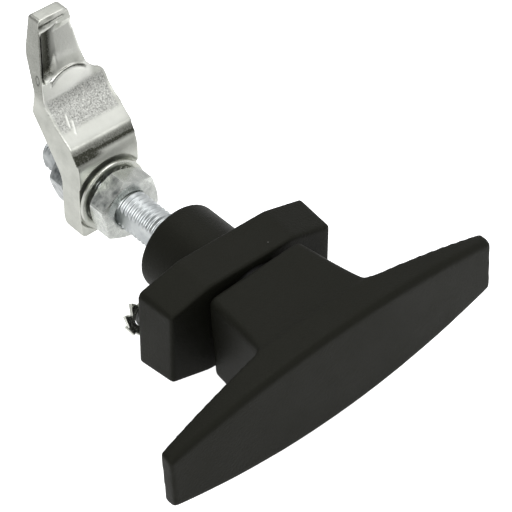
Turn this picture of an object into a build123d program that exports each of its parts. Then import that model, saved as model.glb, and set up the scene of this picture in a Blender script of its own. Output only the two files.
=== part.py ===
from build123d import *
import os
from math import cos, radians, sin, tan

# T-handle compression latch, in millimetres.
# Origin: where the shaft's axis meets the flange's back face, which seats on the door.
# X runs along the flange and the T-bar, Y points into the door, Z is up.
# The handle is on the -Y side. The cam is on the +Y side and points up when latched.

# ---- clearances ----
running_clearance = 0.05
assembly_clearance = 0.02
free_gap = 0.3

# ---- helpers for cutting and joining solids ----
cut_margin = 1.0
root_overlap = 0.3

# ---- flange and boss ----
flange_thickness = 11.0
flange_half_length = 25.1
flange_end_half_height = 11.0
flange_mid_half_height = 14.2
flange_mid_half_width = 12.9
flange_draft = 5.0
flange_end_corner = 0.9
flange_mid_corner = 9.0
flange_front_bevel = 0.5
flange_back_bevel = 0.3
boss_radius = 11.5
boss_length = 15.8
boss_bevel = 0.3

# ---- shaft ----
journal_radius = 6.0
thread_radius = 5.0
thread_flat_half_width = 4.0
shaft_reach = 62.8
shaft_end_chamfer = 0.9
journal_end = 11.8
shaft_depth_in_handle = 20.5
oring_section_radius = 0.72
oring_groove_width = 2.2
oring_place = -5.0

# ---- inside the boss ----
counterbore_radius = 9.3
counterbore_depth = 4.2
spring_rim_width = 1.6
spring_thickness = 0.4
spring_height = 0.9
stop_washer_thickness = 1.5
stop_washer_waist = 6.7
stop_lug_angle = 40.0
stop_slack_angle = 3.0
turn_range = 90.0
ring_thickness = 1.0
ring_radius = 7.4
ring_groove_depth = 0.4
ring_mouth = 5.0

# ---- handle ----
thrust_washer_thickness = 1.3
thrust_washer_radius = 11.7
stem_back_half_width = 13.9
stem_back_half_height = 12.8
stem_front_half_width = 15.4
stem_front_half_height = 13.2
stem_length = 20.0
stem_edge_round = 1.8
bar_half_length = 48.5
bar_end_half_height = 8.0
bar_mid_half_height = 14.0
bar_end_thickness = 3.7
bar_root_thickness = 8.6
bar_crown = 0.9
bar_edge_bevel = 1.1
stem_back_bevel = 0.6
handle_lead_angle = 4.0
pin_radius = 2.0
pin_wall = 0.7
pin_slit = 0.7
pin_length = 22.0
pin_recess = 1.0
pin_place = 10.5

# ---- jam nuts and lock washer ----
nut_across_flats = 16.0
nut_thickness = 6.0
nut_chamfer_angle = 30.0
nut_face_share = 0.95
front_nut_turn = 41.0
rear_nut_turn = 49.0
lock_washer_radius = 9.6
lock_washer_rim = 1.7
lock_washer_thickness = 1.0
lock_washer_height = 2.9
lock_washer_teeth = 10
lock_tooth_width = 2.1
lock_tooth_phase = 3.5

# ---- cam ----
cam_seat_place = 41.8
cam_seat_radius = 10.4
cam_seat_depth = 0.5
cam_hub_thickness = 6.6
cam_back_seat_clearance = 0.5
cam_half_width = 9.1
cam_hub_drop = 10.0
cam_bottom_corner = 1.6
cam_heel_round = 3.2
cam_bend_fillet = 6.0
cam_ridge_round = 1.6
cam_slope_top_fillet = 2.5
cam_belly_round = 9.0
cam_waist_fillet = 3.0
cam_knee_round = 1.0
cam_back_bend_fillet = 8.0
cam_bend_height = 11.4
cam_ridge_height = 16.2
cam_ridge_offset = 2.9
cam_slope_top_height = 23.0
cam_nose_offset = 12.7
cam_nose_height = 48.7
cam_nose_thickness = 3.9
cam_nose_belly = 2.3
cam_belly_height = 36.8
cam_waist_height = 25.5
cam_waist_thickness = 3.6
cam_knee_height = 19.2
cam_knee_thickness = 4.9
cam_back_bend_height = 5.4
cam_nose_tip_right = -0.3
cam_shoulder_inner = 4.6
cam_shoulder_inner_height = 29.2
cam_shoulder_height = 26.6
cam_shoulder_fillet = 6.5
cam_shoulder_round = 2.4
cam_web_bulge = 0.9
cam_web_bulge_height = 19.5
cam_bulge_round = 12.0
cam_tip_left_round = 0.6
cam_tip_right_round = 1.2
cam_shoulder_bevel_angle = 54.0
cam_shoulder_bevel_inner = 5.0
cam_shoulder_land = 0.6
cam_dish_depth = 2.1
cam_dish_rise_angle = 7.0
cam_dish_wall = 0.6
cam_dish_outer_radius = 45.5
cam_dish_floor_height = 29.8
cam_dish_brow_place = -0.9
cam_dish_brow_radius = 7.8
cam_dish_brow_height = 24.1
cam_dish_bevel = 0.6

# ---- mounting studs and star washers ----
stud_place = 20.7
stud_radius = 3.0
stud_depth = 7.5
stud_reach = 3.6
stud_chamfer = 0.5
star_washer_radius = 5.7
star_washer_rim_radius = 4.4
star_washer_bore_clearance = 0.15
star_washer_thickness = 0.7
star_washer_place = 2.8
star_teeth = 10
star_tooth_width = 1.5
star_tooth_phase = 29.0
tooth_twist = 32.0

# ---- places that follow from the sizes above ----
flange_front = -flange_thickness
counterbore_floor = boss_length - counterbore_depth
stem_back = flange_front - free_gap - thrust_washer_thickness
bar_back = stem_back - stem_length
bar_front = bar_back - bar_root_thickness
shaft_start = stem_back - shaft_depth_in_handle
oring_groove_radius = journal_radius - 2 * oring_section_radius
spring_front = counterbore_floor + free_gap
stop_washer_front = spring_front + spring_height
ring_front = stop_washer_front + stop_washer_thickness
nut_corner_radius = nut_across_flats / 2 / cos(radians(30))
nut_face_radius = nut_across_flats / 2 * nut_face_share
lock_washer_front = cam_seat_place - lock_washer_height
front_nut_front = lock_washer_front - nut_thickness
cam_face = cam_seat_place - cam_seat_depth
cam_back = cam_seat_place + cam_hub_thickness
cam_nose_face = cam_face + cam_nose_offset


def front_plane(y):
    """Sketch plane square to the shaft at y, with local x along X and local y along Z."""
    return Plane(origin=(0, y, 0), x_dir=(1, 0, 0), z_dir=(0, -1, 0))


def prism(sketch, y_start, y_end):
    """Extrude a sketch drawn in X and Z from y_start to y_end."""
    return extrude(front_plane(y_start) * sketch, amount=y_start - y_end)


def disc(radius, y_start, y_end):
    return prism(Circle(radius), y_start, y_end)


def tube(outer, inner, y_start, y_end):
    return prism(Circle(outer) - Circle(inner), y_start, y_end)


def at_angle(solid, degrees_from_x):
    """Turn a piece about the shaft, from X towards Z."""
    return Rot(0, -degrees_from_x, 0) * solid


def double_d(radius, flat):
    """Round section with two flats facing -X and +X."""
    return Circle(radius) & Rectangle(2 * flat, 3 * radius)


def sector(outer, inner, angle_from, angle_to):
    """Ring sector in X and Z between two angles from X towards Z."""
    sweep = angle_to - angle_from
    line = Polyline(
        (inner * cos(radians(angle_from)), inner * sin(radians(angle_from))),
        (outer * cos(radians(angle_from)), outer * sin(radians(angle_from))),
    )
    line += CenterArc((0, 0), outer, angle_from, sweep)
    line += Polyline(
        (outer * cos(radians(angle_to)), outer * sin(radians(angle_to))),
        (inner * cos(radians(angle_to)), inner * sin(radians(angle_to))),
    )
    line += CenterArc((0, 0), inner, angle_from, sweep)
    return make_face(line)


def flange_outline():
    """Long octagon: straight in the middle, tapered to upright ends."""
    corners = [
        (flange_half_length, flange_end_half_height),
        (flange_mid_half_width, flange_mid_half_height),
        (-flange_mid_half_width, flange_mid_half_height),
        (-flange_half_length, flange_end_half_height),
    ]
    corners += [(-x, -z) for x, z in corners]
    face = make_face(Polyline(*corners, close=True))
    ends = face.vertices().filter_by(lambda v: abs(v.X) > flange_mid_half_width + cut_margin)
    face = chamfer(ends, flange_end_corner)
    middles = face.vertices().filter_by(lambda v: abs(v.X) < flange_mid_half_width + cut_margin)
    return fillet(middles, flange_mid_corner)


def housing():
    """Cast flange with the round boss that carries the shaft."""
    outline = front_plane(-flange_back_bevel) * flange_outline()
    drafted = flange_thickness - flange_back_bevel - flange_front_bevel
    flange = extrude(outline, amount=drafted, taper=flange_draft)
    front = flange.faces().sort_by(Axis.Y)[0]
    flange += extrude(front, amount=flange_front_bevel, taper=45)
    flange += extrude(outline, amount=-flange_back_bevel, taper=45)
    boss = disc(boss_radius, flange_front / 2, boss_length)
    boss = chamfer(boss.faces().sort_by(Axis.Y)[-1].edges(), boss_bevel)
    body = flange + boss
    body -= disc(journal_radius + running_clearance, flange_front, boss_length)
    body -= disc(counterbore_radius, counterbore_floor, boss_length)
    lug = sector(
        counterbore_radius + root_overlap,
        stop_washer_waist + free_gap,
        -90 - stop_lug_angle / 2,
        -90 + stop_lug_angle / 2,
    )
    body += prism(lug, counterbore_floor - root_overlap, ring_front - free_gap)
    for side in (-1, 1):
        hole = disc(stud_radius + assembly_clearance, -stud_depth - free_gap, 0)
        body -= Pos(side * stud_place, 0, 0) * hole
    return body


def shaft():
    """Spindle: round journal in the handle and boss, then a double-D screw thread."""
    journal = disc(journal_radius, shaft_start, journal_end)
    screw = prism(double_d(thread_radius, thread_flat_half_width), journal_end, shaft_reach)
    tip = Cone(
        thread_radius - shaft_end_chamfer,
        thread_radius + shaft_reach,
        shaft_reach + shaft_end_chamfer,
        align=(Align.CENTER, Align.CENTER, Align.MIN),
    )
    screw &= Pos(0, shaft_reach, 0) * Rot(90, 0, 0) * tip
    body = journal + screw
    groove_front = oring_place - oring_groove_width / 2
    body -= tube(
        journal_radius + cut_margin,
        oring_groove_radius,
        groove_front,
        groove_front + oring_groove_width,
    )
    body -= tube(
        thread_radius + cut_margin,
        thread_radius - ring_groove_depth,
        ring_front,
        ring_front + ring_thickness + running_clearance,
    )
    body -= at_angle(pin_hole(), handle_lead_angle)
    return body


def pin_hole():
    """Cross hole for the spring pin, open at the stem's underside."""
    low = -stem_front_half_height - cut_margin
    high = -stem_back_half_height + pin_recess + pin_length
    bore = Cylinder(pin_radius + assembly_clearance, high - low)
    return Pos(0, stem_back - pin_place, (low + high) / 2) * bore


def handle_pin():
    """Slit spring pin that locks the handle to the shaft."""
    pin = Cylinder(pin_radius, pin_length) - Cylinder(pin_radius - pin_wall, pin_length)
    pin -= Pos(pin_radius, 0, 0) * Box(2 * pin_radius, pin_slit, pin_length)
    centre = -stem_back_half_height + pin_recess + pin_length / 2
    return at_angle(Pos(0, stem_back - pin_place, centre) * pin, handle_lead_angle)


def bar_plan():
    """T-bar seen from above: crowned front, back tapering to thin ends."""
    end_front = bar_front + bar_crown
    front = ThreePointArc(
        (-bar_half_length, end_front), (0, bar_front), (bar_half_length, end_front)
    )
    back = Polyline(
        (bar_half_length, end_front),
        (bar_half_length, end_front + bar_end_thickness),
        (stem_front_half_width, bar_back),
        (-stem_front_half_width, bar_back),
        (-bar_half_length, end_front + bar_end_thickness),
        (-bar_half_length, end_front),
    )
    return make_face(front + back)


def bar_elevation():
    """T-bar seen from the front: boat shape with arched top and bottom."""
    top = ThreePointArc(
        (-bar_half_length, bar_end_half_height),
        (0, bar_mid_half_height),
        (bar_half_length, bar_end_half_height),
    )
    bottom = ThreePointArc(
        (-bar_half_length, -bar_end_half_height),
        (0, -bar_mid_half_height),
        (bar_half_length, -bar_end_half_height),
    )
    left = Line((-bar_half_length, bar_end_half_height), (-bar_half_length, -bar_end_half_height))
    right = Line((bar_half_length, bar_end_half_height), (bar_half_length, -bar_end_half_height))
    return make_face(top + right + bottom + left)


def handle():
    """Cast T-handle: a crowned boat-shaped bar on a drafted square stem."""
    plan = extrude(bar_plan(), amount=2 * bar_mid_half_height, both=True)
    bar = plan & prism(bar_elevation(), bar_front - cut_margin, bar_back + cut_margin)
    long_edges = bar.edges().filter_by(lambda e: e.length > bar_half_length)
    front_edges = long_edges.sort_by(Axis.Y)[:2]
    bar = chamfer(front_edges, bar_edge_bevel)
    stem = loft(
        [
            front_plane(stem_back)
            * RectangleRounded(
                2 * stem_back_half_width, 2 * stem_back_half_height, stem_edge_round
            ),
            front_plane(bar_back - bar_root_thickness / 2)
            * RectangleRounded(
                2 * stem_front_half_width, 2 * stem_front_half_height, stem_edge_round
            ),
        ]
    )
    stem = chamfer(stem.faces().sort_by(Axis.Y)[-1].edges(), stem_back_bevel)
    body = bar + stem
    body -= disc(journal_radius + assembly_clearance, shaft_start - free_gap, stem_back)
    body -= pin_hole()
    return at_angle(body, handle_lead_angle)


def thrust_washer():
    """Wear washer between the stem and the flange."""
    bore = journal_radius + running_clearance
    return tube(thrust_washer_radius, bore, stem_back, stem_back + thrust_washer_thickness)


def shaft_oring():
    """Seal ring in the journal's groove, squeezed flat against the bore."""
    front = oring_place - oring_section_radius
    return tube(journal_radius, oring_groove_radius, front, front + 2 * oring_section_radius)


def disc_spring():
    """Coned spring washer that takes up end play and keeps the handle from swinging."""
    inner = thread_radius + running_clearance
    outer = inner + spring_rim_width
    rise = spring_height - spring_thickness
    section = make_face(
        Polyline(
            (outer, spring_front),
            (outer, spring_front + spring_thickness),
            (inner, spring_front + rise + spring_thickness),
            (inner, spring_front + rise),
            close=True,
        )
    )
    return revolve(section, Axis.Y)


def stop_washer():
    """Washer keyed to the shaft; its relieved side lets the boss lug pass through one turn range."""
    outer = counterbore_radius - free_gap
    relief_from = -90 - stop_lug_angle / 2 - stop_slack_angle
    relief_to = -90 + turn_range + stop_lug_angle / 2 + stop_slack_angle
    outline = Circle(outer) - sector(outer + cut_margin, stop_washer_waist, relief_from, relief_to)
    outline -= double_d(
        thread_radius + running_clearance, thread_flat_half_width + running_clearance
    )
    return prism(outline, stop_washer_front, stop_washer_front + stop_washer_thickness)


def retaining_ring():
    """Open snap ring in the shaft's groove, behind the stop washer."""
    outline = Circle(ring_radius) - Circle(thread_radius - ring_groove_depth + running_clearance)
    outline -= Pos(0, -ring_radius) * Rectangle(ring_mouth, ring_radius)
    return prism(outline, ring_front, ring_front + ring_thickness)


def jam_nut(y_start, turn):
    """Thin hexagon nut, chamfered on both faces."""
    outline = RegularPolygon(nut_corner_radius, 6, rotation=turn)
    nut = prism(outline, y_start, y_start + nut_thickness)
    slope = tan(radians(nut_chamfer_angle))
    reach = nut_corner_radius + cut_margin
    drop = (reach - nut_face_radius) * slope
    envelope = make_face(
        Polyline(
            (0, y_start),
            (nut_face_radius, y_start),
            (reach, y_start + drop),
            (reach, y_start + nut_thickness - drop),
            (nut_face_radius, y_start + nut_thickness),
            (0, y_start + nut_thickness),
            close=True,
        )
    )
    nut &= revolve(envelope, Axis.Y)
    return nut - disc(thread_radius + running_clearance, y_start, y_start + nut_thickness)


def twisted_tooth(r_inner, r_outer, width, thickness, y_middle):
    """One lock-washer tooth, lying along X and twisted about its own length."""
    tooth = Box(r_outer - r_inner, thickness, width)
    return Pos((r_inner + r_outer) / 2, y_middle, 0) * Rot(tooth_twist, 0, 0) * tooth


def front_lock_washer():
    """Internal-tooth lock washer: a flat rim with twisted teeth pointing at the shaft."""
    middle = cam_seat_place - lock_washer_height / 2
    rim_radius = lock_washer_radius - lock_washer_rim
    washer = tube(
        lock_washer_radius,
        rim_radius,
        middle - lock_washer_thickness / 2,
        middle + lock_washer_thickness / 2,
    )
    tooth = twisted_tooth(
        thread_radius + free_gap,
        rim_radius + root_overlap,
        lock_tooth_width,
        lock_washer_thickness,
        middle,
    )
    for number in range(lock_washer_teeth):
        washer += at_angle(tooth, lock_tooth_phase + number * 360 / lock_washer_teeth)
    return washer


def star_washer(side):
    """External-tooth washer standing on a mounting stud."""
    outline = Circle(star_washer_rim_radius)
    for number in range(star_teeth):
        turn = star_tooth_phase + number * 360 / star_teeth
        tooth = Pos(star_washer_radius / 2) * Rectangle(star_washer_radius, star_tooth_width)
        outline += Rot(0, 0, turn) * tooth
    outline -= Circle(stud_radius + star_washer_bore_clearance)
    front = star_washer_place - star_washer_thickness / 2
    return Pos(side * stud_place, 0, 0) * prism(outline, front, front + star_washer_thickness)


def mounting_stud(side):
    """Threaded stud screwed into the back of the flange."""
    stud = disc(stud_radius, -stud_depth, stud_reach)
    stud = chamfer(stud.faces().sort_by(Axis.Y)[-1].edges(), stud_chamfer)
    return Pos(side * stud_place, 0, 0) * stud


def cam_side_profile():
    """Cam seen along X: flat hub, sloped web, then the nose set back from the hub."""
    nose_back = cam_nose_face + cam_nose_thickness
    front = [
        (cam_face, -cam_hub_drop),
        (cam_face, cam_bend_height),
        (cam_face + cam_ridge_offset, cam_ridge_height),
        (cam_nose_face, cam_slope_top_height),
        (cam_nose_face, cam_nose_height),
    ]
    back = [
        (nose_back, cam_nose_height),
        (nose_back + cam_nose_belly, cam_belly_height),
        (cam_nose_face + cam_waist_thickness, cam_waist_height),
        (cam_nose_face + cam_knee_thickness, cam_knee_height),
        (cam_back, cam_back_bend_height),
        (cam_back, -cam_hub_drop),
    ]
    face = make_face(Polyline(*front, *back, close=True))

    def corner(face, point, radius):
        near = face.vertices().sort_by_distance((point[0], point[1], 0))[0]
        return fillet(near, radius)

    face = corner(face, front[1], cam_bend_fillet)
    face = corner(face, front[2], cam_ridge_round)
    face = corner(face, front[3], cam_slope_top_fillet)
    face = corner(face, back[1], cam_belly_round)
    face = corner(face, back[2], cam_waist_fillet)
    face = corner(face, back[3], cam_knee_round)
    face = corner(face, back[4], cam_back_bend_fillet)
    face = corner(face, back[5], cam_heel_round)
    return face


def cam_front_outline():
    """Cam seen along the shaft: square hub, one straight flank, one flank cut in to the nose."""
    points = [
        (-cam_half_width, -cam_hub_drop),
        (-cam_half_width, cam_nose_height),
        (cam_nose_tip_right, cam_nose_height),
        (cam_shoulder_inner, cam_shoulder_inner_height),
        (cam_half_width, cam_shoulder_height),
        (cam_half_width + cam_web_bulge, cam_web_bulge_height),
        (cam_half_width, cam_bend_height),
        (cam_half_width, -cam_hub_drop),
    ]
    radii = [
        cam_bottom_corner,
        cam_tip_left_round,
        cam_tip_right_round,
        cam_shoulder_fillet,
        cam_shoulder_round,
        cam_bulge_round,
        cam_bulge_round,
        cam_bottom_corner,
    ]
    face = make_face(Polyline(*points, close=True))
    for point, radius in zip(points, radii):
        near = face.vertices().sort_by_distance((point[0], point[1], 0))[0]
        face = fillet(near, radius)
    return face


def cam_dish():
    """Hollow in the nose's striking face, deepest at the straight flank, open at the other."""
    floor = cam_nose_face + cam_dish_depth
    wall = -cam_half_width + cam_dish_wall
    width = 3 * cam_half_width
    height = cam_nose_height - cam_dish_floor_height
    area = Circle(cam_dish_outer_radius)
    area &= Pos(wall + width / 2, cam_dish_floor_height + height / 2) * Rectangle(width, height)
    area -= Pos(cam_dish_brow_place, cam_dish_brow_height) * Circle(cam_dish_brow_radius)
    dish = prism(area, cam_face, floor)
    dish = chamfer(dish.faces().sort_by(Axis.Y)[-1].edges(), cam_dish_bevel)
    hinge = Pos(wall, floor, 0)
    return hinge * Rot(0, 0, -cam_dish_rise_angle) * hinge.inverse() * dish


def cam_shoulder_bevel():
    """Waste behind the shoulder, cut away so the shoulder thins towards its back edge."""
    start = cam_nose_face + cam_shoulder_land
    run = cam_half_width
    top = cam_nose_height
    low = cam_shoulder_height - run * tan(radians(cam_shoulder_bevel_angle))
    waste = Polyline(
        (start, cam_shoulder_height), (start, top), (start + run, top), (start + run, low), close=True
    )
    width = cam_half_width + cam_web_bulge - cam_shoulder_bevel_inner
    solid = extrude(Plane.YZ * make_face(waste), amount=width + cut_margin)
    return Pos(cam_shoulder_bevel_inner, 0, 0) * solid


def cam():
    """Cast cam: keyed hub, sloped web and ramped striking nose."""
    side = extrude(Plane.YZ * cam_side_profile(), amount=2 * cam_half_width, both=True)
    body = side & prism(cam_front_outline(), cam_face - cut_margin, cam_nose_face + cam_half_width)
    body -= disc(cam_seat_radius, cam_face - cut_margin, cam_seat_place)
    body -= disc(nut_corner_radius + cam_back_seat_clearance, cam_back, cam_nose_face)
    body -= cam_dish()
    body -= cam_shoulder_bevel()
    hole = double_d(
        thread_radius + running_clearance, thread_flat_half_width + running_clearance
    )
    body -= prism(hole, cam_face - cut_margin, cam_back + cut_margin)
    return body


pieces = {
    "handle": handle(),
    "handle_pin": handle_pin(),
    "shaft": shaft(),
    "thrust_washer": thrust_washer(),
    "shaft_oring": shaft_oring(),
    "housing": housing(),
    "disc_spring": disc_spring(),
    "stop_washer": stop_washer(),
    "retaining_ring": retaining_ring(),
    "front_jam_nut": jam_nut(front_nut_front, front_nut_turn),
    "front_lock_washer": front_lock_washer(),
    "cam": cam(),
    "rear_jam_nut": jam_nut(cam_back, rear_nut_turn),
    "mounting_stud_left": mounting_stud(-1),
    "mounting_stud_right": mounting_stud(1),
    "stud_washer_left": star_washer(-1),
    "stud_washer_right": star_washer(1),
}

os.makedirs("parts", exist_ok=True)
for name, solid in pieces.items():
    export_step(solid, f"parts/{name}.step")
    print(f"{name}: volume {solid.volume:.1f} mm3")
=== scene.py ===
# %% [markdown]
# # T-handle compression latch
# This latch goes through a cabinet door. Outside are a black T-handle and its flange. Inside are a
# zinc-plated shaft, a cast cam and the two jam nuts that set how far the cam pulls the door in.
# The fixed frame holds every solid in its true place and size, in metres. This lesson dresses
# those solids: it softens the castings, cuts the threads, makes the toothed washers, and builds
# a finish for each material.

# %% Load the fixed frame
import math

import bmesh
import bpy
import numpy as np
from mathutils import Matrix, Vector


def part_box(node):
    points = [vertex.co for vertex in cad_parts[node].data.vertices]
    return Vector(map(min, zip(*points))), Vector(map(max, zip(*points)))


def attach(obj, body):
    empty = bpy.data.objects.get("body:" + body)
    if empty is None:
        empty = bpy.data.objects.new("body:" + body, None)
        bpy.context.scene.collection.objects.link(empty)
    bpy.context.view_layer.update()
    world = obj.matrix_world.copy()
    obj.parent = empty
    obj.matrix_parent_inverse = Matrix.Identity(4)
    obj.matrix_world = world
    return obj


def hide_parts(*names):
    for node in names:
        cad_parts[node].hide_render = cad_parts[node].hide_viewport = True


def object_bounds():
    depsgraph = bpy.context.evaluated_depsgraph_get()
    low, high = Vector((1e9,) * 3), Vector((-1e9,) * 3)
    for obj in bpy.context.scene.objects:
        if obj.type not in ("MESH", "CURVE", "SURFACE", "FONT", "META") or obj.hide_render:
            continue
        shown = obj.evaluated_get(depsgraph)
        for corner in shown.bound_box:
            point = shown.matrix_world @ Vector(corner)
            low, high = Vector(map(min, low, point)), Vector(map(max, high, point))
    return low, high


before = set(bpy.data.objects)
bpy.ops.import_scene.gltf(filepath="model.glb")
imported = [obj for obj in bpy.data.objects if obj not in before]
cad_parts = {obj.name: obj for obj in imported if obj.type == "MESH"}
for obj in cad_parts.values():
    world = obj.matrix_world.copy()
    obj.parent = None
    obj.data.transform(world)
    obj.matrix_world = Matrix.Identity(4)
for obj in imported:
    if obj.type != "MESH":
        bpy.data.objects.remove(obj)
solid_box = [list(corner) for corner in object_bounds()]
MM = 0.001
print("nodes:", len(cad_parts))

# %% [markdown]
# ## Camera
# A long lens looks down on the latch from the front left, far enough away that the bar's ends
# keep nearly the same size. The camera is built from three directions, right, up and back. They
# are the columns of a rotation matrix, so no angles have to be turned one after another.

# %% Camera
CAMERA_AZIMUTH = math.radians(-41.57)
CAMERA_ELEVATION = math.radians(42.47)
CAMERA_ROLL = math.radians(0.42)
CAMERA_DISTANCE = 0.600
CAMERA_RIGHT = 0.00815
CAMERA_UP = 0.00552
CAMERA_LENS = 180.4
SENSOR = 36.0


def camera_axes():
    """Right, up and back directions of a camera that looks at the latch."""
    level = Vector((math.cos(CAMERA_AZIMUTH), math.sin(CAMERA_AZIMUTH), 0))
    back = Vector(
        (
            math.sin(CAMERA_AZIMUTH) * math.cos(CAMERA_ELEVATION),
            -math.cos(CAMERA_AZIMUTH) * math.cos(CAMERA_ELEVATION),
            math.sin(CAMERA_ELEVATION),
        )
    )
    over = back.cross(level)
    right = level * math.cos(CAMERA_ROLL) + over * math.sin(CAMERA_ROLL)
    up = over * math.cos(CAMERA_ROLL) - level * math.sin(CAMERA_ROLL)
    return right, up, back


def add_camera():
    """Sets the camera up and makes it the scene's own."""
    right, up, back = camera_axes()
    place = back * CAMERA_DISTANCE + right * CAMERA_RIGHT + up * CAMERA_UP
    lens = bpy.data.cameras.new("camera")
    lens.lens = CAMERA_LENS
    lens.sensor_width = SENSOR
    lens.clip_start = 0.01
    lens.clip_end = 20.0
    camera = bpy.data.objects.new("camera", lens)
    turn = Matrix((right, up, back)).transposed().to_4x4()
    camera.matrix_world = Matrix.Translation(place) @ turn
    bpy.context.scene.collection.objects.link(camera)
    bpy.context.scene.camera = camera
    return camera


camera = add_camera()
print("camera at", [round(v, 3) for v in camera.matrix_world.translation])

# %% [markdown]
# ## Sums in a node tree
# Light, finishes and screw threads are all node trees here, and each tree is mostly sums. One
# Math node per sum is slow to write and hard to read. So a small class wraps what comes out of a
# node: a + b between two wires adds the Math node. The same helpers serve shaders and geometry.


# %% Node helpers
class Wire:
    """What comes out of a node. A sum written with wires becomes Math nodes."""

    def __init__(self, socket):
        self.socket = socket
        self.tree = socket.id_data

    def __add__(self, other):
        return calc("ADD", self, other)

    def __sub__(self, other):
        return calc("SUBTRACT", self, other)

    def __mul__(self, other):
        return calc("MULTIPLY", self, other)

    def __truediv__(self, other):
        return calc("DIVIDE", self, other)


def plug(value, socket):
    """Leads a wire into an input, or sets the input to a plain value."""
    if isinstance(value, Wire):
        value.tree.links.new(value.socket, socket)
    else:
        socket.default_value = value


def add_node(tree, kind, inputs=None, **settings):
    """Adds a node, sets its options, and fills its inputs with plain values or wires."""
    made = tree.nodes.new(kind)
    for key, value in settings.items():
        setattr(made, key, value)
    for key, value in (inputs or {}).items():
        plug(value, made.inputs[key])
    return made


def wire(tree, kind, inputs=None, output=0, **settings):
    """Adds a node and returns one of its outputs."""
    return Wire(add_node(tree, kind, inputs, **settings).outputs[output])


def calc(operation, *values, **settings):
    """A Math node; at least one of the values is a wire."""
    tree = next(value.tree for value in values if isinstance(value, Wire))
    inputs = dict(enumerate(values))
    return wire(tree, "ShaderNodeMath", inputs, operation=operation, **settings)


def remap(value, low, high, start=0.0, full=1.0):
    """low where value is at start or before it, high from full on, and even between."""
    inputs = {"Value": value, "From Min": start, "From Max": full, "To Min": low, "To Max": high}
    return wire(value.tree, "ShaderNodeMapRange", inputs, "Result")


def parts_of(vector):
    """The X, Y and Z of a vector."""
    node = add_node(vector.tree, "ShaderNodeSeparateXYZ", {"Vector": vector})
    return [Wire(socket) for socket in node.outputs]


print("node helpers ready")

# %% [markdown]
# ## World, floor and lamps
# The latch hangs in its own frame with the door left out, so the pale floor lies well below it.
# Broad soft lamps and a bright world light it from all sides. A black coat goes grey when too
# much light comes from every direction. So the world is plain white to the camera only: as a
# lamp it is dimmer, and reflections find it dimmer near the horizon and behind the latch, where
# a studio has its walls.

# %% World: white to look at, softer as a lamp
WORLD_WHITE = 1.0
WORLD_LAMP = 0.34
HORIZON_GLOSS = 0.65
HORIZON_TOP = 0.30
REAR_GLOSS = 0.70
REAR_START = -0.2
REAR_FULL = 0.5


def add_world():
    """White to the camera, dimmer as a lamp; reflections see a bright ceiling and dim walls."""
    world = bpy.data.worlds.new("studio_world")
    world.use_nodes = True
    tree = world.node_tree
    sky = tree.nodes["Background"].inputs
    sky["Color"].default_value = (1.0, 1.0, 1.0, 1.0)
    heading = wire(tree, "ShaderNodeTexCoord", output="Generated")
    _, rearward, upward = parts_of(heading)
    ceiling = remap(rearward, WORLD_WHITE, REAR_GLOSS, REAR_START, REAR_FULL)
    mirrored = remap(upward, HORIZON_GLOSS, ceiling, 0.0, HORIZON_TOP)
    glossy = wire(tree, "ShaderNodeLightPath", output="Is Glossy Ray")
    seen = wire(tree, "ShaderNodeLightPath", output="Is Camera Ray")
    unseen = remap(glossy, WORLD_LAMP, mirrored)
    plug(remap(seen, unseen, WORLD_WHITE), sky["Strength"])
    bpy.context.scene.world = world
    bpy.context.scene.view_settings.view_transform = "Standard"
    return world


print("world:", add_world().name)

# %% Pale floor, well below the latch
FLOOR_DROP = 0.006
FLOOR_SIZE = 0.76
FLOOR_TINT = (0.93, 0.93, 0.93, 1.0)
FLOOR_ROUGHNESS = 0.9
FLOOR_SPECULAR = 0.1
FLOOR_WHITE = 0.95
FLOOR_GLOSS = 0.45


def add_floor():
    """A matt floor that glows nearly white to the camera, and half as bright in reflections."""
    lowest = solid_box[0][2] - FLOOR_DROP
    bpy.ops.mesh.primitive_plane_add(size=FLOOR_SIZE, location=(0, 0, lowest))
    floor = bpy.context.object
    floor.name = "floor"
    paint = bpy.data.materials.new("floor_paint")
    paint.use_nodes = True
    tree = paint.node_tree
    matt = tree.nodes["Principled BSDF"].inputs
    matt["Base Color"].default_value = FLOOR_TINT
    matt["Roughness"].default_value = FLOOR_ROUGHNESS
    matt["Specular IOR Level"].default_value = FLOOR_SPECULAR
    matt["Emission Color"].default_value = (1.0, 1.0, 1.0, 1.0)
    seen = wire(tree, "ShaderNodeLightPath", output="Is Camera Ray") * FLOOR_WHITE
    glossy = wire(tree, "ShaderNodeLightPath", output="Is Glossy Ray")
    plug(calc("MULTIPLY_ADD", glossy, FLOOR_GLOSS, seen), matt["Emission Strength"])
    floor.data.materials.append(paint)
    return floor


print("floor at", round(add_floor().location.z, 3))

# %% Soft lamps
LAMPS = {
    "key_softbox": {"place": (-0.75, -0.75, 0.85), "size": 0.8, "power": 6.0},
    "edge_softbox": {"place": (0.60, -0.85, 0.70), "size": 0.45, "power": 0.9},
    "top_softbox": {"place": (0.25, 0.35, 1.15), "size": 0.9, "power": 6.0},
}


def add_lamp(name, place, size, power):
    """A square lamp that faces the latch."""
    light = bpy.data.lights.new(name, "AREA")
    light.shape = "SQUARE"
    light.size = size
    light.energy = power
    lamp = bpy.data.objects.new(name, light)
    place = Vector(place)
    aim = place.to_track_quat("Z", "Y").to_matrix().to_4x4()
    lamp.matrix_world = Matrix.Translation(place) @ aim
    bpy.context.scene.collection.objects.link(lamp)


for name, setting in LAMPS.items():
    add_lamp(name, **setting)
print("lamps:", len(LAMPS))

# %% [markdown]
# ## Effects for the finishes
# Each finish is a procedural material on Object coordinates, so it stays put when a piece turns.
# A fine grain and light wear along the edges come back in several finishes, and sparse specks of
# dust lie on the coat. Each of these effects is a node group with named inputs, built once and
# given its own values where it is used. A group hands out only masks and heights. The shader
# itself stays in the material.

# %% Group helpers
FLOAT = "NodeSocketFloat"


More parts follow.
